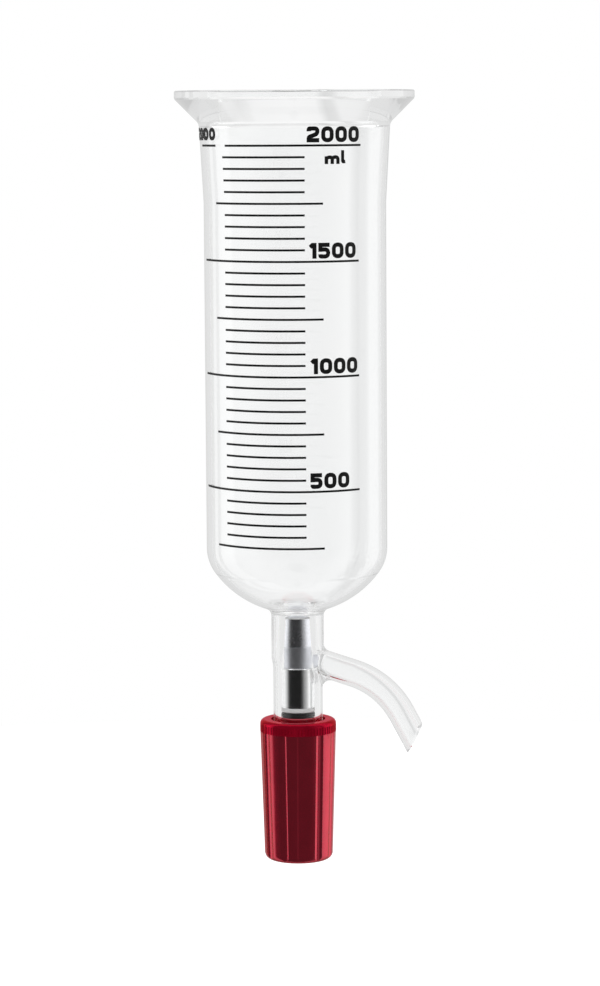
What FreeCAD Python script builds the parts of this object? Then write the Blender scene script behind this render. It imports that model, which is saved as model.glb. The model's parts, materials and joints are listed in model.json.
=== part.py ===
"""Glass reactor vessel with a printed scale, a bottom screw valve and a side outlet.

Frame: millimetres, +Z up along the vessel's axis. The origin is the centre of the
flange's ground top face. The side outlet leaves towards +X, the scale faces -Y.
"""
import FreeCAD
import Part
import math
import os

V = FreeCAD.Vector
AXIS = V(0, 0, 1)
ORIGIN = V(0, 0, 0)

# Flat flange, nominal bore 100
flange_d = 138.0
flange_bore_d = 100.0
flange_bore_len = 18.0
flange_rim_t = 4.7
flange_edge = 0.6

# Neck that is fused between flange and body tube
neck_d = 110.0
neck_wall = 3.4
neck_len = 64.0
neck_bead_r = 4.0
step_cone_len = 3.0

# Body tube and dished bottom
body_d = 105.0
body_wall = 3.0
body_len = 264.0
dish_depth = 38.5
dish_knuckle_r = 24.0
dish_root_r = 5.0

# Valve barrel below the dish
barrel_d = 28.7
barrel_bore_d = 20.0
barrel_len = 95.5
seat_wall_d = 30.5
seat_wall_len = 26.0
seat_step_len = 6.0
barrel_lip = 1.0

# Ground seat: a short sealing land, then a cone that widens downwards
seat_land_d = 14.6
seat_land_len = 6.5
seat_cone_d = 14.8
seat_cone_len = 13.5
seat_taper = 0.13
seat_mouth_r = 1.2
seat_exit_len = 9.0

# Side outlet
outlet_d = 16.0
outlet_wall = 2.2
outlet_drop = 25.0
outlet_slope = 18.5
outlet_run = 34.4
outlet_bend_r = 49.0
outlet_end_slope = 62.0
outlet_tail = 17.0
outlet_cut_angle = 55.5
outlet_root_r = 4.5
outlet_mouth_r = 2.0

# Direction that faces the viewer, counted from +X towards +Y
front_deg = 270.0

# Printed volume scale
scale_ml_low = 250
scale_ml_step = 50
scale_low_rise = 5.6
scale_head_gap = 8.0
print_t = 0.12
line_w = 1.2
scale_left_500 = 75.0
scale_right_500 = 43.0
scale_left_250 = 58.0
scale_right_250 = 17.5
scale_left_50 = 49.0
scale_right_50 = 6.0

# Valve spindle
plug_gap = 0.35
plug_rise = 1.8
plug_tip_d = 7.2
plug_tip_len = 2.6
plug_crown_gap = 0.3
plug_nose_len = 7.4
plug_cone_len = 13.3
plug_shank_d = 15.7
plug_shank_len = 12.5
turned_line_w = 0.5
turned_line_depth = 0.35
seal_w = 1.8
seal_clearance = 0.1
stud_d = 8.0
stud_len = 20.0
fit_gap = 0.05
shaft_d = 18.6
shaft_len = 23.7
shaft_edge = 0.5
guide_d = 19.8
guide_w = 2.6
guide_edge = 0.5
land_d = 19.0
ring_w = 3.0
ring_clearance = 0.1
groove_spare = 0.3
ring_corner = 0.28
land_len = 9.0
land_tail_len = 6.0
stem_d = 14.0
pivot_d = 10.0
screw_d = 6.0
screw_bite = 14.0
screw_end_gap = 2.0
screw_edge = 0.5
screw_head_d = 10.0
screw_head_h = 5.0
hex_af = 5.0
hex_depth = 3.0
washer_t = 1.5
washer_d = 20.0
lower_washer_d = 18.0
running_gap = 0.06

# Knob
knob_overlap = 33.0
knob_d = 44.3
knob_foot_d = 39.7
knob_len = 76.0
knob_foot_edge_r = 4.0
flute_count = 12
flute_depth = 0.7
flute_r = 5.9
flute_turn = 5.0
collar_d = 44.5
collar_h = 7.0
collar_edge_r = 2.6
collar_mouth_d = 31.8
rib_count = 72
rib_depth = 0.4
rib_notch_w = 1.0
insert_d = 37.0
thread_crest_d = 31.0
thread_clearance = 0.3
web_t = 8.0
web_gap = 1.0
insert_lip_t = 3.5
insert_lip_gap = 1.0
pocket_d = 25.0
cap_t = 3.0
cap_skirt = 5.0
cap_wall = 2.0
cap_edge = 0.6

# Places down the axis that follow from the sizes above
neck_top_z = -flange_rim_t - (flange_d - neck_d) / 2
dish_z = -(body_len + dish_depth)
barrel_end_z = dish_z - barrel_len
knob_top_z = barrel_end_z + knob_overlap
grip_top_z = knob_top_z - collar_h
knob_end_z = grip_top_z - knob_len
plug_tip_z = dish_z + plug_rise
nose_z = plug_tip_z - plug_nose_len
shank_z = nose_z - plug_cone_len
shaft_top_z = shank_z - plug_shank_len
shaft_low_z = shaft_top_z - shaft_len
web_top_z = barrel_end_z - web_gap - insert_lip_t
web_low_z = web_top_z - web_t
outlet_z = dish_z - outlet_drop
seat_top_z = dish_z - seat_land_len
seat_low_z = seat_top_z - seat_cone_len
body_r = body_d / 2
inner_r = body_r - body_wall


# Sizes and places of the seals and grooves, from the seat and the barrel's bore
seat_seal_z = plug_tip_z - plug_tip_len
plug_crown_r = seat_land_d / 2 - plug_crown_gap
plug_groove_r = seat_land_d / 2 - seal_clearance - seal_w
groove_r = barrel_bore_d / 2 - ring_clearance - ring_w
upper_ring_z = shaft_low_z - guide_w
land_z = upper_ring_z - ring_w - groove_spare
lower_ring_z = land_z - land_len
tail_z = lower_ring_z - ring_w - groove_spare
stem_z = tail_z - land_tail_len
stem_end_z = web_top_z + washer_t
pivot_end_z = web_low_z - running_gap


def line(a, b):
    """Straight edge between two (radius, z) points of a section."""
    return Part.LineSegment(V(a[0], 0, a[1]), V(b[0], 0, b[1])).toShape()


def arc(a, mid, b):
    """Arc edge through three (radius, z) points of a section."""
    return Part.Arc(V(a[0], 0, a[1]), V(mid[0], 0, mid[1]), V(b[0], 0, b[1])).toShape()


def turned(points):
    """Solid of revolution of a closed section of straight runs."""
    loop = points + [points[0]]
    edges = [line(a, b) for a, b in zip(loop, loop[1:])]
    return Part.Face(Part.Wire(edges)).revolve(ORIGIN, AXIS, 360)


def disc(diameter, z_low, height):
    return Part.makeCylinder(diameter / 2, height, V(0, 0, z_low))


def tube(outer_d, inner_d, z_low, height):
    return disc(outer_d, z_low, height).cut(disc(inner_d, z_low, height))


def circles_at(shape, z, radius, slack=0.05):
    """Circular edges of a turned shape at one height and radius."""
    found = []
    for edge in shape.Edges:
        curve = edge.Curve
        if isinstance(curve, Part.Circle) and abs(curve.Radius - radius) < slack:
            if abs(curve.Center.z - z) < slack:
                found.append(edge)
    return found


def dish_edges(top_r, top_z, depth, knuckle_r, root_r):
    """Knuckle and crown arcs of a dished end, from the tube down to radius root_r."""
    reach = top_r - knuckle_r
    crown_r = (reach ** 2 + depth ** 2 - knuckle_r ** 2) / (2 * (depth - knuckle_r))
    crown_z = top_z - depth + crown_r
    meet = math.atan2(reach, crown_z - top_z)

    def knuckle(angle):
        return (reach + knuckle_r * math.cos(angle), top_z - knuckle_r * math.sin(angle))

    def crown(angle):
        return (crown_r * math.sin(angle), crown_z - crown_r * math.cos(angle))

    turn = math.pi / 2 - meet
    root = math.asin(root_r / crown_r)
    first = arc((top_r, top_z), knuckle(turn / 2), knuckle(turn))
    second = arc(knuckle(turn), crown((meet + root) / 2), crown(root))
    return [first, second], crown(root)


def seat_r(z):
    """Radius of the ground seat's cone at height z."""
    return seat_cone_d / 2 + (seat_top_z - z) * seat_taper / 2


def skin_r(z):
    """Outer radius of the glass at height z, on the neck or on the body tube."""
    share = (neck_top_z - z) / (neck_len + neck_top_z)
    return body_r + max(0.0, 1 - share) * (neck_d - body_d) / 2


def vessel_outside():
    """Everything inside the outer skin of flange, neck, body, dish and barrel."""
    neck_r = neck_d / 2
    dish, root = dish_edges(body_r, -body_len, dish_depth, dish_knuckle_r, seat_wall_d / 2)
    step_z = dish_z - seat_wall_len
    edges = [
        line((0, 0), (flange_d / 2, 0)),
        line((flange_d / 2, 0), (flange_d / 2, -flange_rim_t)),
        line((flange_d / 2, -flange_rim_t), (neck_r, neck_top_z)),
        line((neck_r, neck_top_z), (body_r, -neck_len)),
        line((body_r, -neck_len), (body_r, -body_len)),
        *dish,
        line(root, (seat_wall_d / 2, step_z)),
        line((seat_wall_d / 2, step_z), (barrel_d / 2, step_z - seat_step_len)),
        line((barrel_d / 2, step_z - seat_step_len), (barrel_d / 2, barrel_end_z)),
        line((barrel_d / 2, barrel_end_z), (0, barrel_end_z)),
        line((0, barrel_end_z), (0, 0)),
    ]
    solid = Part.Face(Part.Wire(edges)).revolve(ORIGIN, AXIS, 360)
    solid = solid.makeFillet(neck_bead_r, circles_at(solid, neck_top_z, neck_r))
    solid = solid.makeFillet(dish_root_r, circles_at(solid, root[1], seat_wall_d / 2))
    rims = circles_at(solid, 0, flange_d / 2) + circles_at(solid, -flange_rim_t, flange_d / 2)
    solid = solid.makeChamfer(flange_edge, rims)
    return solid.makeChamfer(barrel_lip, circles_at(solid, barrel_end_z, barrel_d / 2))


def vessel_inside():
    """The space inside: flange bore, body, dish, ground seat and barrel bore."""
    bore_r = flange_bore_d / 2
    wide_r = neck_d / 2 - neck_wall
    wide_z = -flange_bore_len - step_cone_len
    depth = dish_depth - body_wall
    dish, root = dish_edges(inner_r, -body_len, depth, dish_knuckle_r - body_wall, seat_land_d / 2)
    bore = barrel_bore_d / 2
    edges = [
        line((0, 0), (bore_r, 0)),
        line((bore_r, 0), (bore_r, -flange_bore_len)),
        line((bore_r, -flange_bore_len), (wide_r, wide_z)),
        line((wide_r, wide_z), (inner_r, -neck_len)),
        line((inner_r, -neck_len), (inner_r, -body_len)),
        *dish,
        line(root, (seat_land_d / 2, seat_top_z)),
        line((seat_land_d / 2, seat_top_z), (seat_cone_d / 2, seat_top_z)),
        line((seat_cone_d / 2, seat_top_z), (seat_r(seat_low_z), seat_low_z)),
        line((seat_r(seat_low_z), seat_low_z), (bore, seat_low_z - seat_exit_len)),
        line((bore, seat_low_z - seat_exit_len), (bore, barrel_end_z)),
        line((bore, barrel_end_z), (0, barrel_end_z)),
        line((0, barrel_end_z), (0, 0)),
    ]
    solid = Part.Face(Part.Wire(edges)).revolve(ORIGIN, AXIS, 360)
    return solid.makeFillet(seat_mouth_r, circles_at(solid, root[1], seat_land_d / 2))


def way_down(degrees):
    """Unit vector that far below the horizontal, towards +X."""
    angle = math.radians(degrees)
    return V(math.cos(angle), 0, -math.sin(angle))


def outlet_places():
    """Start, ends of the bend, bend centre and the middle of the cut end."""
    start = V(0, 0, outlet_z)
    bend_in = start + way_down(outlet_slope) * outlet_run
    centre = bend_in - way_down(outlet_slope - 90) * outlet_bend_r
    bend_out = centre + way_down(outlet_end_slope - 90) * outlet_bend_r
    return start, bend_in, centre, bend_out, bend_out + way_down(outlet_end_slope) * outlet_tail


def outlet_rod(diameter):
    """Round rod along the outlet: a straight run, a bend and a straight tail."""
    start, bend_in, centre, bend_out, _ = outlet_places()
    run = Part.makeCylinder(diameter / 2, outlet_run, start, way_down(outlet_slope))
    ring = Part.Face(Part.Wire([Part.Circle(bend_in, way_down(outlet_slope), diameter / 2).toShape()]))
    bend = ring.revolve(centre, V(0, 1, 0), outlet_end_slope - outlet_slope)
    tail = Part.makeCylinder(diameter / 2, outlet_tail + outlet_d, bend_out, way_down(outlet_end_slope))
    return run.fuse([bend, tail]).removeSplitter()


def outlet_cutter():
    """Block beyond the oblique plane that ends the outlet."""
    cut_point = outlet_places()[-1]
    along = way_down(outlet_end_slope + outlet_cut_angle)
    beyond = V(-along.z, 0, along.x)
    if beyond.dot(way_down(outlet_end_slope)) < 0:
        beyond = beyond * -1
    size = outlet_d * 3
    corners = [
        cut_point - along * size,
        cut_point + along * size,
        cut_point + along * size + beyond * size,
        cut_point - along * size + beyond * size,
    ]
    face = Part.Face(Part.makePolygon([c - V(0, size, 0) for c in corners + corners[:1]]))
    return face.extrude(V(0, 2 * size, 0))


def glass_vessel():
    """Flange, neck, body, dish, barrel and outlet as one blown and fused piece."""
    solid = vessel_outside().fuse(outlet_rod(outlet_d).cut(outlet_cutter()))
    solid = solid.makeFillet(outlet_root_r, [e for e in solid.Edges if on_outlet_root(e)])
    space = vessel_inside().fuse(outlet_rod(outlet_d - 2 * outlet_wall))
    space = space.makeFillet(outlet_mouth_r, [e for e in space.Edges if on_outlet_root(e)])
    return solid.cut(space).removeSplitter()


def on_outlet_root(edge):
    """True for the edges where the outlet meets the barrel, outside or in the bores."""
    box = edge.BoundBox
    high = outlet_z + outlet_d
    low = outlet_z - 2 * outlet_d
    beside = box.XMin > 1 and box.XMax < barrel_d
    return beside and box.ZMax < high and box.ZMin > low and not is_ring(edge)


def is_ring(edge):
    return isinstance(edge.Curve, Part.Circle) or isinstance(edge.Curve, Part.Line)


def scale_strip(z, left_deg, right_deg):
    """One printed line on the glass, between two angles from the front."""
    low = z - line_w / 2
    high = z + line_w / 2
    corners = [
        V(skin_r(low), 0, low),
        V(skin_r(low) + print_t, 0, low),
        V(skin_r(high) + print_t, 0, high),
        V(skin_r(high), 0, high),
    ]
    strip = Part.Face(Part.makePolygon(corners + corners[:1]))
    strip = strip.revolve(ORIGIN, AXIS, left_deg + right_deg)
    strip.rotate(ORIGIN, AXIS, front_deg - left_deg)
    return strip


def scale_lines():
    """One line for each step of volume, from the tube's foot up to below the flange's cone."""
    step_h = scale_ml_step * 1000 / (math.pi * inner_r ** 2)
    low_z = scale_low_rise - body_len
    steps = int((neck_top_z - scale_head_gap - low_z) / step_h)
    strips = []
    for i in range(steps + 1):
        z = low_z + i * step_h
        ml = scale_ml_low + i * scale_ml_step
        if ml % 500 == 0:
            reach = (scale_left_500, scale_right_500)
        elif ml % 250 == 0:
            reach = (scale_left_250, scale_right_250)
        else:
            reach = (scale_left_50, scale_right_50)
        strips.append(scale_strip(z, *reach))
    return Part.makeCompound(strips)


def valve_plug():
    """Plug with a grooved nose, a cone, a turned line and a shank, bored for the shaft's stud."""
    groove_low = seat_seal_z - seal_w
    shank_r = plug_shank_d / 2
    line_z = shank_z - turned_line_w
    body = turned([
        (0, plug_tip_z),
        (plug_tip_d / 2, plug_tip_z),
        (plug_crown_r, seat_seal_z),
        (plug_groove_r, seat_seal_z),
        (plug_groove_r, groove_low),
        (plug_crown_r, groove_low),
        (seat_r(nose_z) - plug_gap, nose_z),
        (seat_r(shank_z) - plug_gap, shank_z),
        (shank_r - turned_line_depth, shank_z),
        (shank_r - turned_line_depth, line_z),
        (shank_r, line_z),
        (shank_r, shaft_top_z),
        (0, shaft_top_z),
    ])
    return body.cut(disc(stud_d + 2 * fit_gap, shaft_top_z, stud_len + fit_gap))


def seal_ring(outer_d, z_top, width):
    """Seal of near round section, as it stands when squeezed into its groove."""
    soft = tube(outer_d, outer_d - 2 * width, z_top - width, width)
    rims = []
    for z in (z_top, z_top - width):
        for radius in (outer_d / 2, outer_d / 2 - width):
            rims += circles_at(soft, z, radius)
    return soft.makeChamfer(width * ring_corner, rims)


def seat_ring():
    return seal_ring(seat_land_d - 2 * seal_clearance, seat_seal_z, seal_w)


def o_ring(groove_top_z):
    return seal_ring(barrel_bore_d - 2 * ring_clearance, groove_top_z - groove_spare / 2, ring_w)


def spindle_shaft():
    """Turned shaft: stud, polished length, guide and seal grooves, stem and pivot."""
    shaft_r = shaft_d / 2
    land_r = land_d / 2
    body = turned([
        (0, shaft_top_z + stud_len),
        (stud_d / 2 - shaft_edge, shaft_top_z + stud_len),
        (stud_d / 2, shaft_top_z + stud_len - shaft_edge),
        (stud_d / 2, shaft_top_z),
        (shaft_r - shaft_edge, shaft_top_z),
        (shaft_r, shaft_top_z - shaft_edge),
        (shaft_r, shaft_low_z),
        (groove_r, shaft_low_z),
        (groove_r, land_z),
        (land_r, land_z),
        (land_r, lower_ring_z),
        (groove_r, lower_ring_z),
        (groove_r, tail_z),
        (land_r, tail_z),
        (land_r, stem_z),
        (stem_d / 2, stem_z),
        (stem_d / 2, stem_end_z),
        (pivot_d / 2, stem_end_z),
        (pivot_d / 2, pivot_end_z),
        (0, pivot_end_z),
    ])
    return body.cut(disc(screw_d, pivot_end_z, screw_bite))


def guide_ring():
    sleeve = tube(guide_d, 2 * (groove_r + fit_gap), shaft_low_z - guide_w, guide_w)
    rims = circles_at(sleeve, shaft_low_z, guide_d / 2) + circles_at(sleeve, shaft_low_z - guide_w, guide_d / 2)
    return sleeve.makeChamfer(guide_edge, rims)


def upper_thrust_washer():
    return tube(washer_d, pivot_d + 2 * fit_gap, web_top_z + running_gap, washer_t - running_gap)


def lower_thrust_washer():
    return tube(lower_washer_d, screw_d + 2 * fit_gap, pivot_end_z - washer_t, washer_t)


def retaining_screw():
    """Socket screw that holds the shaft to the web of the knob from below."""
    head_top = pivot_end_z - washer_t
    head_low = head_top - screw_head_h
    screw_top = pivot_end_z + screw_bite - screw_end_gap
    screw_r = screw_d / 2 - fit_gap
    head_r = screw_head_d / 2
    body = turned([
        (0, screw_top),
        (screw_r - screw_edge, screw_top),
        (screw_r, screw_top - screw_edge),
        (screw_r, head_top),
        (head_r, head_top),
        (head_r, head_low + screw_edge),
        (head_r - screw_edge, head_low),
        (0, head_low),
    ])
    corner_r = hex_af / math.sqrt(3)
    corners = [V(corner_r * math.cos(math.radians(60 * i)), corner_r * math.sin(math.radians(60 * i)),
                 head_low) for i in range(7)]
    socket = Part.Face(Part.makePolygon(corners)).extrude(V(0, 0, hex_depth))
    return body.cut(socket)


def flute(turn_deg):
    """Long round cutter, tilted with the grip's taper, that hollows one flute."""
    out = flute_r - flute_depth
    low = V(knob_foot_d / 2 + out, 0, knob_end_z)
    high = V(knob_d / 2 + out, 0, grip_top_z)
    way = high - low
    spare = way * 0.1
    cutter = Part.makeCylinder(flute_r, way.Length * 1.2, low - spare, way)
    cutter.rotate(ORIGIN, AXIS, turn_deg)
    return cutter


def knob_grip():
    """Tapered grip with shallow flutes, a rounded foot, an upper bore and a lower pocket."""
    body = Part.makeCone(knob_foot_d / 2, knob_d / 2, knob_len, V(0, 0, knob_end_z))
    body = body.makeFillet(knob_foot_edge_r, circles_at(body, knob_end_z, knob_foot_d / 2))
    pitch = 360 / flute_count
    first = front_deg + flute_turn
    body = body.cut([flute(first + i * pitch) for i in range(flute_count)])
    bores = [
        disc(insert_d, web_top_z, grip_top_z - web_top_z),
        disc(pivot_d + 2 * running_gap, web_low_z, web_t),
        disc(pocket_d, knob_end_z, web_low_z - knob_end_z),
    ]
    return body.cut(bores)


def knurled_collar():
    """Ribbed ring that closes the top of the grip over the insert."""
    outer = collar_d / 2
    pitch = 360 / rib_count
    collar = tube(collar_d, collar_mouth_d, grip_top_z, collar_h)
    collar = collar.makeFillet(collar_edge_r, circles_at(collar, knob_top_z, outer))
    spare = rib_depth
    corners = [
        V(outer - rib_depth, 0, grip_top_z),
        V(outer + spare, -rib_notch_w, grip_top_z),
        V(outer + spare, rib_notch_w, grip_top_z),
    ]
    notch = Part.Face(Part.makePolygon(corners + corners[:1]))
    notch = notch.extrude(V(0, 0, collar_h - collar_edge_r))
    notches = []
    for i in range(rib_count):
        cut = notch.copy()
        cut.rotate(ORIGIN, AXIS, i * pitch)
        notches.append(cut)
    return collar.cut(notches)


def threaded_insert():
    """Sleeve that runs on the glass thread, held between the collar and the web."""
    bore = thread_crest_d + 2 * thread_clearance
    low = barrel_end_z - web_gap
    height = grip_top_z - low
    sleeve = tube(insert_d, bore, low, height)
    lip = tube(insert_d, washer_d + 2 * insert_lip_gap, web_top_z, insert_lip_t)
    return sleeve.fuse(lip).removeSplitter()


def end_cap():
    """Push-in cap with a skirt, under the screw."""
    plate = disc(pocket_d, knob_end_z, cap_t)
    plate = plate.makeChamfer(cap_edge, circles_at(plate, knob_end_z, pocket_d / 2))
    skirt = tube(pocket_d, pocket_d - 2 * cap_wall, knob_end_z + cap_t, cap_skirt)
    return plate.fuse(skirt).removeSplitter()


def build():
    return {
        "glass_vessel": glass_vessel(),
        "scale_lines": scale_lines(),
        "valve_plug": valve_plug(),
        "seat_ring": seat_ring(),
        "spindle_shaft": spindle_shaft(),
        "guide_ring": guide_ring(),
        "upper_o_ring": o_ring(upper_ring_z),
        "lower_o_ring": o_ring(lower_ring_z),
        "upper_thrust_washer": upper_thrust_washer(),
        "lower_thrust_washer": lower_thrust_washer(),
        "retaining_screw": retaining_screw(),
        "knob_grip": knob_grip(),
        "knurled_collar": knurled_collar(),
        "threaded_insert": threaded_insert(),
        "end_cap": end_cap(),
    }


os.makedirs("parts", exist_ok=True)
for node, shape in build().items():
    box = shape.BoundBox
    print(node, "valid", shape.isValid(), "solids", len(shape.Solids), "volume", round(shape.Volume),
          "z", round(box.ZMin, 2), round(box.ZMax, 2))
    shape.exportStep("parts/" + node + ".step")
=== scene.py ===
"""Looks of the glass reactor: clear glass, printed scale, metal valve spindle and red anodised knob."""

import json
import math

import bmesh
import bpy
from mathutils import Matrix, Vector


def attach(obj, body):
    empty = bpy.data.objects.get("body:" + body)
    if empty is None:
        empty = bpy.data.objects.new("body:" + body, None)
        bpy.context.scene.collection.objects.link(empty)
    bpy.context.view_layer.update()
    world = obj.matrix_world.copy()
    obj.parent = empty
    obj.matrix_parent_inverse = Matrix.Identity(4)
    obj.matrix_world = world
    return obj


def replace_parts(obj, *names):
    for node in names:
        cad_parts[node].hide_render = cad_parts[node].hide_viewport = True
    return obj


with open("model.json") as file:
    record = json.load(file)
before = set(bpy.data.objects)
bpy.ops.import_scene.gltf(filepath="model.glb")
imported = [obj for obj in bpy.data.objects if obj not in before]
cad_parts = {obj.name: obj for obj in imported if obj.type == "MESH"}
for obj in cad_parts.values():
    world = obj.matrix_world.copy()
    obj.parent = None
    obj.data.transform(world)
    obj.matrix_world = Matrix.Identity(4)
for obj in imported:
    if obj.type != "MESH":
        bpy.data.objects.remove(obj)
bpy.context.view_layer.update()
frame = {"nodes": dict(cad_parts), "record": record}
nodes = frame["nodes"]

MM = 0.001

# Camera, fitted to the photograph
LENS_MM = 121.95
SENSOR_MM = 36.0
CAMERA_AT = (0.0019, -1.928, -0.015)
CAMERA_SEES_M = (0.05, 20)
PITCH_DOWN = 6.43
ROLL = -0.35


# Small helpers for node trees

MOTTLE = (0.3, 0.7)      # levels of a noise that stand for the first and the second colour


def new_tree(name):
    material = bpy.data.materials.new(name)
    material.use_nodes = True
    tree = material.node_tree
    tree.nodes.clear()
    out = tree.nodes.new("ShaderNodeOutputMaterial")
    shader = tree.nodes.new("ShaderNodeBsdfPrincipled")
    tree.links.new(shader.outputs["BSDF"], out.inputs["Surface"])
    return material, tree, shader


def add(tree, kind, **values):
    node = tree.nodes.new(kind)
    for key, value in values.items():
        setattr(node, key, value)
    return node


def noise(tree, scale, detail=3.0, stretch=(1, 1, 1)):
    """Noise in the piece's own coordinates, in metres."""
    where = add(tree, "ShaderNodeTexCoord")
    place = add(tree, "ShaderNodeMapping")
    place.inputs["Scale"].default_value = stretch
    texture = add(tree, "ShaderNodeTexNoise")
    texture.inputs["Scale"].default_value = scale
    texture.inputs["Detail"].default_value = detail
    tree.links.new(where.outputs["Object"], place.inputs["Vector"])
    tree.links.new(place.outputs["Vector"], texture.inputs["Vector"])
    return texture.outputs["Fac"]


def ramp(tree, source, stops):
    """Colour ramp with stops of (place, colour)."""
    node = add(tree, "ShaderNodeValToRGB")
    node.color_ramp.interpolation = "LINEAR"
    marks = node.color_ramp.elements
    while len(marks) < len(stops):
        marks.new(0.5)
    for mark, (place, colour) in zip(marks, stops):
        mark.position = place
        mark.color = (*colour, 1)
    tree.links.new(source, node.inputs["Fac"])
    return node.outputs["Color"]


def mottled(tree, texture, first, second):
    """Tone that wanders between two colours with a noise."""
    low, high = MOTTLE
    return ramp(tree, texture, [(low, first), (high, second)])


def height_share(tree, low, high):
    """0 below the first height and 1 above the second, in metres on the object."""
    where = add(tree, "ShaderNodeTexCoord")
    split = add(tree, "ShaderNodeSeparateXYZ")
    share = add(tree, "ShaderNodeMapRange")
    share.inputs["From Min"].default_value = low
    share.inputs["From Max"].default_value = high
    tree.links.new(where.outputs["Object"], split.inputs["Vector"])
    tree.links.new(split.outputs["Z"], share.inputs["Value"])
    return share.outputs["Result"]


def bump(tree, shader, height, strength, distance):
    node = add(tree, "ShaderNodeBump")
    node.inputs["Strength"].default_value = strength
    node.inputs["Distance"].default_value = distance
    tree.links.new(height, node.inputs["Height"])
    tree.links.new(node.outputs["Normal"], shader.inputs["Normal"])


def grey(value):
    return (value, value, value)


def maths(tree, operation, *values):
    """Result of a Math node whose inputs are sockets or plain numbers."""
    node = add(tree, "ShaderNodeMath", operation=operation)
    for socket, value in zip(node.inputs, values):
        if isinstance(value, (int, float)):
            socket.default_value = value
        else:
            tree.links.new(value, socket)
    return node.outputs[0]


def more_than(tree, count, limit):
    """1 where a whole count is above the limit, otherwise 0."""
    return maths(tree, "GREATER_THAN", count, limit + 0.5)


def at_most(tree, count, limit):
    """1 where a whole count isn't above the limit, otherwise 0."""
    return maths(tree, "LESS_THAN", count, limit + 0.5)


def count_within(tree, count, low, high):
    """1 where a whole count lies from low to high, otherwise 0."""
    return maths(tree, "COMPARE", count, (low + high) / 2, (high - low) / 2 + 0.4)


def both(tree, first, second):
    return maths(tree, "MULTIPLY", first, second)


def mixed(tree, share, first, second, how="MIX"):
    """Mix of two colours, each a socket or a plain grey level."""
    node = add(tree, "ShaderNodeMix", data_type="RGBA", blend_type=how)
    for name, value in (("Factor", share), ("A", first), ("B", second)):
        socket = node.inputs[name]
        if not isinstance(value, (int, float)):
            tree.links.new(value, socket)
        elif name == "Factor":
            socket.default_value = value
        else:
            socket.default_value = (*grey(value), 1)
    return node.outputs["Result"]


# Materials

GLASS_IOR = 1.473
# painted glow: strength of the white that the glass emits once a ray has turned back inside it more than
# TRAPPED_TURNS times, standing in for light that the bounce limit cuts off
PAINTED_TRAPPED_GLOW = 0.31     # what light is worth that keeps turning back inside the glass
TRAPPED_TURNS = 3        # how often it has turned back by then
TURNED_LINE_M = (-0.3225, -0.3213)     # heights between which the plug's shank turns into its cone


def glass_material():
    material, tree, shader = new_tree("clear_glass")
    shader.inputs["Transmission Weight"].default_value = 1.0
    shader.inputs["IOR"].default_value = GLASS_IOR
    shader.inputs["Roughness"].default_value = 0.0
    tint = mottled(tree, noise(tree, 14), (0.985, 0.99, 0.99), (0.995, 0.998, 0.998))
    tree.links.new(tint, shader.inputs["Base Color"])
    # painted glow: the glass emits white for rays that keep turning back inside its walls
    path = add(tree, "ShaderNodeLightPath")
    trapped = more_than(tree, path.outputs["Glossy Depth"], TRAPPED_TURNS)
    shader.inputs["Emission Color"].default_value = (1, 1, 1, 1)
    tree.links.new(maths(tree, "MULTIPLY", trapped, PAINTED_TRAPPED_GLOW), shader.inputs["Emission Strength"])
    return material


def enamel_material():
    material, tree, shader = new_tree("black_enamel")
    tone = mottled(tree, noise(tree, 900), grey(0.004), grey(0.012))
    tree.links.new(tone, shader.inputs["Base Color"])
    shader.inputs["Roughness"].default_value = 0.45
    shader.inputs["Specular IOR Level"].default_value = 0.25
    return material


def satin_steel_material():
    """Finely turned cone above, blasted shank below."""
    material, tree, shader = new_tree("satin_steel")
    height = height_share(tree, *TURNED_LINE_M)
    grain = noise(tree, 900, 4)
    cone = mottled(tree, grain, (0.80, 0.81, 0.85), (0.88, 0.89, 0.93))
    shank = mottled(tree, grain, (0.74, 0.75, 0.79), (0.84, 0.85, 0.89))
    tree.links.new(mixed(tree, height, shank, cone), shader.inputs["Base Color"])
    shader.inputs["Metallic"].default_value = 1.0
    smooth = mottled(tree, grain, grey(0.22), grey(0.28))
    matt = mottled(tree, grain, grey(0.42), grey(0.48))
    tree.links.new(mixed(tree, height, matt, smooth), shader.inputs["Roughness"])
    bump(tree, shader, noise(tree, 2600, 2), 0.25, 0.00006)
    return material


def polished_steel_material():
    material, tree, shader = new_tree("polished_steel")
    turned = noise(tree, 60, 4, (1, 1, 60))
    tone = mottled(tree, turned, grey(0.78), grey(0.86))
    tree.links.new(tone, shader.inputs["Base Color"])
    shader.inputs["Metallic"].default_value = 1.0
    rough = mottled(tree, turned, grey(0.05), grey(0.1))
    tree.links.new(rough, shader.inputs["Roughness"])
    return material


def white_seal_material():
    material, tree, shader = new_tree("white_seal")
    tone = mottled(tree, noise(tree, 300), grey(0.90), grey(0.95))
    tree.links.new(tone, shader.inputs["Base Color"])
    shader.inputs["Roughness"].default_value = 0.45
    return material


def rubber_material():
    material, tree, shader = new_tree("black_rubber")
    tone = mottled(tree, noise(tree, 700), grey(0.006), grey(0.014))
    tree.links.new(tone, shader.inputs["Base Color"])
    shader.inputs["Roughness"].default_value = 0.55
    return material


def bearing_material():
    material, tree, shader = new_tree("bearing_plastic")
    tone = mottled(tree, noise(tree, 400), (0.60, 0.58, 0.52), (0.68, 0.66, 0.60))
    tree.links.new(tone, shader.inputs["Base Color"])
    shader.inputs["Roughness"].default_value = 0.5
    return material


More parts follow.
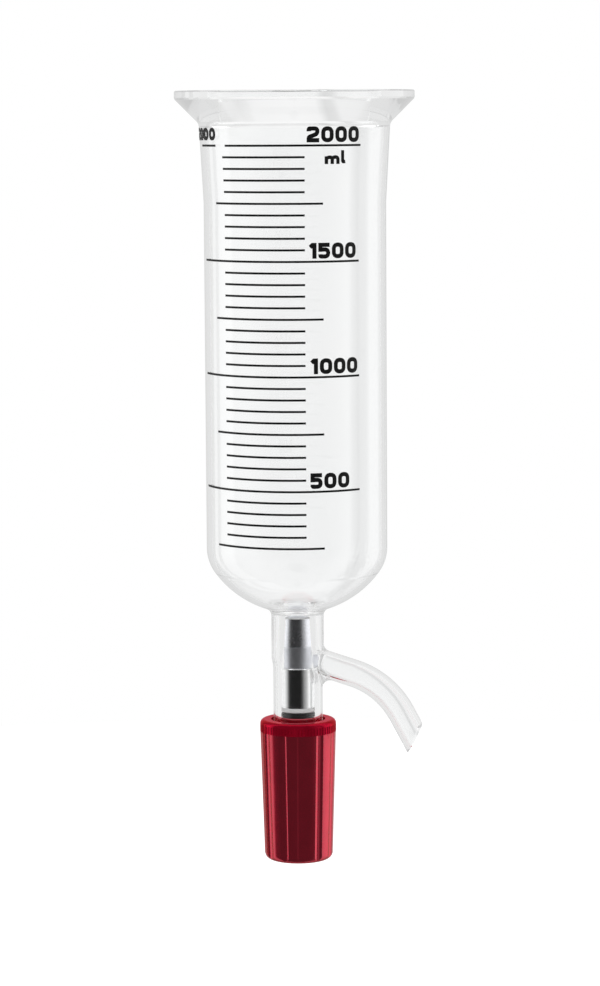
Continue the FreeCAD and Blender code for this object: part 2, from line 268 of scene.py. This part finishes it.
def red_material():
    """Glossy red dye on the turned and fluted grip."""
    material, tree, shader = new_tree("red_anodised")
    dye = noise(tree, 120, 3)
    tone = mottled(tree, dye, (0.54, 0.008, 0.036), (0.61, 0.011, 0.044))
    tree.links.new(tone, shader.inputs["Base Color"])
    shader.inputs["Metallic"].default_value = 0.94
    shader.inputs["Roughness"].default_value = 0.24
    shader.inputs["Specular Tint"].default_value = (1.0, 0.15, 0.22, 1)
    shader.inputs["Coat Weight"].default_value = 0.7
    shader.inputs["Coat IOR"].default_value = 1.65
    shader.inputs["Coat Roughness"].default_value = 0.10
    bump(tree, shader, noise(tree, 3000, 2), 0.1, 0.00004)
    return material


def knurled_red_material():
    """The same dye on the ribbed collar, where it looks fuller and less glossy."""
    material, tree, shader = new_tree("red_knurled")
    dye = noise(tree, 150, 3)
    tone = mottled(tree, dye, (0.50, 0.005, 0.028), (0.56, 0.007, 0.034))
    tree.links.new(tone, shader.inputs["Base Color"])
    shader.inputs["Metallic"].default_value = 0.75
    shader.inputs["Roughness"].default_value = 0.22
    shader.inputs["Specular IOR Level"].default_value = 0.3
    shader.inputs["Specular Tint"].default_value = (1.0, 0.2, 0.3, 1)
    bump(tree, shader, noise(tree, 3000, 2), 0.1, 0.00004)
    return material


MATERIALS = {
    "glass": glass_material(),
    "enamel_black": enamel_material(),
    "satin_steel": satin_steel_material(),
    "polished_steel": polished_steel_material(),
    "white_seal": white_seal_material(),
    "black_rubber": rubber_material(),
    "bearing_plastic": bearing_material(),
    "red_anodised": red_material(),
}

for part in frame["record"]["subparts"]:
    piece = nodes[part["node"]]
    piece.data.materials.clear()
    piece.data.materials.append(MATERIALS[part["material_slot"]])

nodes["knurled_collar"].data.materials[0] = knurled_red_material()


# Printed numbers and lines on the glass

NECK_TOP_MM = (-18.7, 55.0)      # height and radius where the neck starts
BODY_TOP_MM = (-64.0, 52.5)      # height and radius where the body tube starts
PRINT_MM = 0.12
PRINT_BITE_MM = 0.03
LINE_2000_MM = -31.07
LINE_STEP_500_MM = 64.95
NUMBER_GAP_MM = 1.7
NUMBER_TALL_MM = 8.9
NUMBER_STROKE_MM = 2.4
GLYPH_WIDE_MM = {"0": 7.4, "1": 4.9, "2": 7.3, "5": 7.0}
GLYPH_GAP_MM = 1.05
# Each number and where it starts, in mm to the right of the front
NUMBERS = (("2000", 6.8), ("1500", 7.2), ("1000", 7.7), ("500", 7.9))
# Letters of the unit: start, foot, size and stroke, in mm
UNIT = (("m", 17.1, -41.6, (9.1, 4.9), 2.05), ("l", 27.2, -41.4, (3.3, 7.6), 1.95))
SIDE_NUMBER_MM = -82.5          # second, smaller number, round the left side
SIDE_GAP_MM = 2.9
SIDE_TALL_MM = 7.2
SIDE_SQUEEZE = 0.92
TOP_LINE_GAP = (-55.3, -46.3)   # bare glass in the 2000 line, in degrees from the front
LINE_REACH_MM = 1.5             # how near to the 2000 line a face belongs to it

CORNER_STEPS = 8
CORNER_SHARE = 0.49             # most of a stroke that a corner's arc takes up
CORNER_PULL = 0.92              # how far the arc leans towards the corner
LONGEST_STEP_MM = 0.9
SHARPEST_MITRE = 0.45

# Strokes in a unit box: points, how round each corner is (mm), closed or open
GLYPHS = {
    "0": [([(0, 0), (1, 0), (1, 1), (0, 1)], [2.3] * 4, True)],
    "1": [([(0, 0.80), (0.55, 1.0), (1, 1.0), (1, -0.18)], [0, 0, 0, 0], False)],
    "2": [([(0, 0.76), (0, 1), (1, 1), (1, 0.55), (0, 0.27), (0, 0), (1.22, 0)],
           [0, 2.1, 2.1, 1.6, 1.2, 0, 0], False)],
    "5": [([(1.19, 1), (0, 1), (0, 0.40)], [0, 0, 0], False),
          ([(0, 0.60), (1, 0.60), (1, 0), (0, 0), (0, 0.20)], [0, 2.0, 2.0, 2.0, 0], False)],
    "m": [([(0, -0.33), (0, 1.2)], [0, 0], False),
          ([(0, 0.8), (0.25, 1.05), (0.5, 0.9), (0.5, -0.33)], [0, 0.8, 0.9, 0], False),
          ([(0.5, 0.8), (0.75, 1.1), (1, 0.9), (1, -0.33)], [0, 0.8, 0.9, 0], False)],
    "l": [([(0, 1.17), (0, 0), (1.25, 0.06)], [0, 1.0, 0], False)],
}


def skin_mm(z):
    """Outer radius of the glass at a height."""
    (z0, r0), (z1, r1) = NECK_TOP_MM, BODY_TOP_MM
    share = min(1.0, max(0.0, (z0 - z) / (z0 - z1)))
    return r0 + share * (r1 - r0)


def rounded(points, radii, closed):
    """Polyline with its corners turned into arcs."""
    out = []
    count = len(points)
    for i, here in enumerate(points):
        here = Vector(here)
        if radii[i] == 0 or (not closed and i in (0, count - 1)):
            out.append(here)
            continue
        before = Vector(points[i - 1]) - here
        after = Vector(points[(i + 1) % count]) - here
        reach = min(radii[i], before.length * CORNER_SHARE, after.length * CORNER_SHARE)
        first = here + before.normalized() * reach
        last = here + after.normalized() * reach
        for k in range(CORNER_STEPS + 1):
            t = k / CORNER_STEPS
            out.append(first * (1 - t) ** 2 + here * 2 * t * (1 - t) * CORNER_PULL
                       + (first + last) * t * (1 - t) * (1 - CORNER_PULL) + last * t ** 2)
    return out


def with_steps(points, closed):
    """Polyline whose runs are cut into short steps."""
    out = []
    ends = points[1:] + points[:1] if closed else points[1:]
    for a, b in zip(points, ends):
        steps = max(1, math.ceil((b - a).length / LONGEST_STEP_MM))
        out += [a.lerp(b, k / steps) for k in range(steps)]
    return out if closed else out + [points[-1]]


def ribbon(points, stroke, closed):
    """Left and right side of a stroke along a polyline, mitred at its corners."""
    left, right = [], []
    count = len(points)
    for i, here in enumerate(points):
        before = points[i - 1] if closed or i else None
        after = points[(i + 1) % count] if closed or i < count - 1 else None
        a = (here - before).normalized() if before is not None else (after - here).normalized()
        b = (after - here).normalized() if after is not None else a
        side_a, side_b = Vector((-a.y, a.x)), Vector((-b.y, b.x))
        middle = (side_a + side_b).normalized()
        width = stroke / 2 / max(SHARPEST_MITRE, middle.dot(side_a))
        left.append(here + middle * width)
        right.append(here - middle * width)
    return left, right


def on_glass(point, start_mm, base_mm, lift):
    """Place a flat point on the round glass; start_mm runs to the right of the front."""
    z = base_mm + point.y
    radius = skin_mm(z)
    angle = (start_mm + point.x) / radius
    reach = (radius + lift) * MM
    return (reach * math.sin(angle), -reach * math.cos(angle), z * MM)


def write(verts, faces, letter, start_mm, base_mm, size, stroke):
    """Add the strokes of one character to a mesh."""
    wide, tall = size[0] - stroke, size[1] - stroke
    for points, radii, closed in GLYPHS[letter]:
        flat = [(p[0] * wide + stroke / 2, p[1] * tall + stroke / 2) for p in points]
        path = with_steps(rounded(flat, radii, closed), closed)
        left, right = ribbon(path, stroke, closed)
        first = len(verts)
        for a, b in zip(left, right):
            for side in (a, b):
                for lift in (-PRINT_BITE_MM, PRINT_MM):
                    verts.append(on_glass(side, start_mm, base_mm, lift))
        count = len(left)
        for i in range(count if closed else count - 1):
            a, b = first + 4 * i, first + 4 * ((i + 1) % count)
            faces += [(a + 1, a + 3, b + 3, b + 1), (a, b, b + 2, a + 2),
                      (a, a + 1, b + 1, b), (a + 2, b + 2, b + 3, a + 3)]
        if not closed:
            a, b = first, first + 4 * (count - 1)
            faces += [(a, a + 2, a + 3, a + 1), (b, b + 1, b + 3, b + 2)]


def printed_piece(name, mesh):
    """Mesh of black enamel that stays with the glass."""
    mesh.materials.append(MATERIALS["enamel_black"])
    piece = bpy.data.objects.new(name, mesh)
    bpy.context.scene.collection.objects.link(piece)
    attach(piece, "vessel")
    return piece


def number(verts, faces, words, start_mm, base_mm, tall=NUMBER_TALL_MM, squeeze=1.0):
    """Digits from left to right, each as wide as it is drawn."""
    for letter in words:
        wide = GLYPH_WIDE_MM[letter] * squeeze
        stroke = NUMBER_STROKE_MM * squeeze
        write(verts, faces, letter, start_mm, base_mm, (wide, tall), stroke)
        start_mm += wide + GLYPH_GAP_MM * squeeze


def printed_numbers():
    verts, faces = [], []
    for k, (words, start) in enumerate(NUMBERS):
        base = LINE_2000_MM - k * LINE_STEP_500_MM + NUMBER_GAP_MM
        number(verts, faces, words, start, base)
    number(verts, faces, "2000", SIDE_NUMBER_MM, LINE_2000_MM + SIDE_GAP_MM, SIDE_TALL_MM, SIDE_SQUEEZE)
    for letter, start, foot, size, stroke in UNIT:
        write(verts, faces, letter, start, foot, size, stroke)
    mesh = bpy.data.meshes.new("scale_numbers")
    mesh.from_pydata(verts, [], faces)
    mesh.validate()
    printed_piece("scale_numbers", mesh)


def round_from_front(face):
    """Degrees from the front, more than 0 to the right."""
    middle = face.calc_center_median()
    return math.degrees(math.atan2(middle.x, -middle.y))


def on_top_line(face):
    return abs(face.calc_center_median().z / MM - LINE_2000_MM) < LINE_REACH_MM


def lines_with_gap():
    """The scale's lines again, with bare glass in the 2000 line beside the side number."""
    shapes = bmesh.new()
    shapes.from_mesh(nodes["scale_lines"].data)
    for angle in TOP_LINE_GAP:
        turned = math.radians(angle)
        top = [face for face in shapes.faces if on_top_line(face)]
        parts = list({item for face in top for item in (*face.verts, *face.edges)}) + top
        across = (math.cos(turned), math.sin(turned), 0)
        bmesh.ops.bisect_plane(shapes, geom=parts, plane_co=(0, 0, 0), plane_no=across)
    bare = [face for face in shapes.faces
            if on_top_line(face) and TOP_LINE_GAP[0] < round_from_front(face) < TOP_LINE_GAP[1]]
    bmesh.ops.delete(shapes, geom=bare, context="FACES")
    bmesh.ops.holes_fill(shapes, edges=[edge for edge in shapes.edges if edge.is_boundary])
    mesh = bpy.data.meshes.new("printed_lines")
    shapes.to_mesh(mesh)
    shapes.free()
    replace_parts(printed_piece("printed_lines", mesh), "scale_lines")


printed_numbers()
lines_with_gap()


# Studio: white surround, dark in front, bright at both sides

# Brightness of the surround by its direction, in degrees to the right of the front:
# what the outside mirrors, and what is seen through the glass
MIRROR_STUDIO = [
    (-180, 0.75), (-150, 0.6), (-138, 0.5), (-136, 0.05), (-129, 0.05), (-127, 1.15), (-121, 1.15),
    (-119, 0.1), (-114, 0.1), (-112, 1.25), (-90, 1.25), (-84, 0.03),
    (0, 0.02), (44, 0.02), (48, 0.1), (72, 0.55), (75, 0.03), (84, 0.03), (88, 1.2), (126, 1.2),
    (130, 0.5), (150, 0.6), (180, 0.75),
]
THROUGH_STUDIO = [
    (-180, 1.0), (-174, 0.98), (-169, 0.90), (-160, 0.95), (-130, 0.88), (-90, 0.80), (0, 0.82), (90, 0.80),
    (130, 0.86), (160, 0.93), (168, 0.95), (173.5, 0.95), (174.8, 0.76), (175.6, 0.76), (176.8, 0.98),
    (180, 1.0),
]
# What the metal inside the barrel mirrors
INSIDE_STUDIO = [
    (-180, 1.0), (-150, 1.1), (-96, 1.2), (-78, 0.65), (-63, 0.11), (-53, 0.005), (18, 0.004), (32, 0.12),
    (43, 0.36), (57, 0.55), (76, 1.1), (100, 1.3), (150, 1.1), (180, 1.0),
]
# What rays see that turned back once inside one wall of glass
INNER_STUDIO = [(-180, 0.85), (-60, 0.8), (-35, 0.12), (35, 0.12), (60, 0.8), (180, 0.85)]
# Share of that brightness by the height of the direction, from level to straight up or down
STEEP_MIRROR = [(0.0, 1.0), (0.26, 1.0), (0.5, 0.75), (1.0, 0.6)]
STEEP_THROUGH = [(0.0, 1.0), (0.3, 1.0), (0.5, 0.9), (1.0, 0.88)]
DEEP_LIGHT = 0.8         # seen by rays that turned back more often or crossed many walls
ROOM_LIGHT = 0.11        # the least that the outside of the object mirrors
PLAIN_LIGHT = 0.7        # light on matt surfaces


def surround(tree, around, studio):
    return ramp(tree, around, [(0.5 + degrees / 360, grey(value)) for degrees, value in studio])


def steepness(tree, upright, shares):
    return ramp(tree, upright, [(place, grey(value)) for place, value in shares])


def set_world():
    world = bpy.data.worlds.new("studio")
    world.use_nodes = True
    bpy.context.scene.world = world
    tree = world.node_tree
    tree.nodes.clear()
    out = add(tree, "ShaderNodeOutputWorld")
    background = add(tree, "ShaderNodeBackground")
    background.inputs["Strength"].default_value = 1.0
    tree.links.new(background.outputs["Background"], out.inputs["Surface"])

    where = add(tree, "ShaderNodeTexCoord")
    split = add(tree, "ShaderNodeSeparateXYZ")
    tree.links.new(where.outputs["Generated"], split.inputs["Vector"])
    # 0.5 straight in front of the object, 0 and 1 straight behind it, more than 0.5 to the right
    to_front = maths(tree, "MULTIPLY", split.outputs["Y"], -1.0)
    angle = maths(tree, "ARCTAN2", split.outputs["X"], to_front)
    around = maths(tree, "MULTIPLY_ADD", angle, 1 / (2 * math.pi), 0.5)

    path = add(tree, "ShaderNodeLightPath")
    crossed = path.outputs["Transmission Depth"]
    turns = path.outputs["Glossy Depth"]
    turned = more_than(tree, turns, 0)
    often = more_than(tree, turns, 1)
    at_most_twice = at_most(tree, turns, 2)
    # a wall of glass counts twice: going in and coming out
    outside = at_most(tree, crossed, 0)
    one_wall = count_within(tree, crossed, 1, 3)
    past_one_wall = more_than(tree, crossed, 3)
    two_walls = count_within(tree, crossed, 4, 4)
    many_walls = more_than(tree, crossed, 4)

    # light from the sides for what mirrors, and the even surround behind clear glass
    upright = maths(tree, "ABSOLUTE", split.outputs["Z"])
    mirrored = surround(tree, around, MIRROR_STUDIO)
    mirrored = mixed(tree, two_walls, mirrored, surround(tree, around, INSIDE_STUDIO))
    mirrored = mixed(tree, 1.0, mirrored, steepness(tree, upright, STEEP_MIRROR), "MULTIPLY")
    through = surround(tree, around, THROUGH_STUDIO)
    through = mixed(tree, 1.0, through, steepness(tree, upright, STEEP_THROUGH), "MULTIPLY")
    colour = mixed(tree, turned, through, mirrored)
    colour = mixed(tree, outside, colour, ROOM_LIGHT, "LIGHTEN")
    # light that turned back inside the walls of the glass
    inner = mixed(tree, often, surround(tree, around, INNER_STUDIO), DEEP_LIGHT)
    colour = mixed(tree, both(tree, turned, one_wall), colour, inner)
    twice = both(tree, both(tree, often, at_most_twice), past_one_wall)
    once = both(tree, both(tree, turned, at_most_twice), many_walls)
    colour = mixed(tree, maths(tree, "MAXIMUM", once, twice), colour, DEEP_LIGHT)
    colour = mixed(tree, path.outputs["Is Diffuse Ray"], colour, PLAIN_LIGHT)
    colour = mixed(tree, path.outputs["Is Camera Ray"], colour, 1.0)
    tree.links.new(colour, background.inputs["Color"])


def lamp(name, place, aim, size, power):
    data = bpy.data.lights.new(name, "AREA")
    data.shape = "RECTANGLE"
    data.size, data.size_y = size
    data.energy = power
    light = bpy.data.objects.new(name, data)
    bpy.context.scene.collection.objects.link(light)
    light.location = place
    light.rotation_mode = "QUATERNION"
    light.rotation_quaternion = (Vector(aim) - Vector(place)).to_track_quat("-Z", "Y")
    light.visible_camera = False
    light.visible_glossy = False
    light.visible_transmission = False


FLOOR_Z = -0.62
FLOOR_R = 1.4
FLOOR_CORNERS = 96
FLOOR_TONE = 0.85
FLOOR_GLOW = 0.62


def lay_floor():
    """Plain pale floor well below the hanging vessel, open when seen from underneath."""
    turns = [2 * math.pi * i / FLOOR_CORNERS for i in range(FLOOR_CORNERS)]
    verts = [(FLOOR_R * math.cos(turn), FLOOR_R * math.sin(turn), FLOOR_Z) for turn in turns]
    mesh = bpy.data.meshes.new("floor")
    mesh.from_pydata(verts, [], [tuple(range(FLOOR_CORNERS))])
    material = bpy.data.materials.new("pale_floor")
    material.use_nodes = True
    tree = material.node_tree
    tree.nodes.clear()
    out = add(tree, "ShaderNodeOutputMaterial")
    matt = add(tree, "ShaderNodeBsdfDiffuse")
    matt.inputs["Color"].default_value = (*grey(FLOOR_TONE), 1)
    glow = add(tree, "ShaderNodeEmission")
    seen = add(tree, "ShaderNodeLightPath")
    level = maths(tree, "MULTIPLY", seen.outputs["Is Camera Ray"], FLOOR_GLOW)
    tree.links.new(level, glow.inputs["Strength"])
    upper = add(tree, "ShaderNodeAddShader")
    tree.links.new(matt.outputs[0], upper.inputs[0])
    tree.links.new(glow.outputs[0], upper.inputs[1])
    clear = add(tree, "ShaderNodeBsdfTransparent")
    side = add(tree, "ShaderNodeNewGeometry")
    pick = add(tree, "ShaderNodeMixShader")
    tree.links.new(side.outputs["Backfacing"], pick.inputs["Fac"])
    tree.links.new(upper.outputs[0], pick.inputs[1])
    tree.links.new(clear.outputs[0], pick.inputs[2])
    tree.links.new(pick.outputs[0], out.inputs["Surface"])
    mesh.materials.append(material)
    floor = bpy.data.objects.new("floor", mesh)
    bpy.context.scene.collection.objects.link(floor)
    floor.visible_glossy = False
    floor.visible_transmission = False


FILL_AT = (0.0, -1.6, 0.7)
FILL_AIM = (0, 0, -0.25)
FILL_SIZE = (0.9, 0.6)
FILL_WATTS = 5

set_world()
lay_floor()
lamp("front_fill", FILL_AT, FILL_AIM, FILL_SIZE, FILL_WATTS)
# light goes through clear glass, so it lays no shadow
nodes["glass_vessel"].visible_shadow = False


# Camera and view transform

def set_camera():
    data = bpy.data.cameras.new("camera")
    data.sensor_width = SENSOR_MM
    data.lens = LENS_MM
    data.clip_start, data.clip_end = CAMERA_SEES_M
    camera = bpy.data.objects.new("camera", data)
    bpy.context.scene.collection.objects.link(camera)
    tilt = Matrix.Rotation(math.radians(90 - PITCH_DOWN), 4, "X")
    roll = Matrix.Rotation(math.radians(ROLL), 4, "Z")
    camera.matrix_world = Matrix.Translation(CAMERA_AT) @ tilt @ roll
    bpy.context.scene.camera = camera


set_camera()
bpy.context.scene.view_settings.view_transform = "Standard"
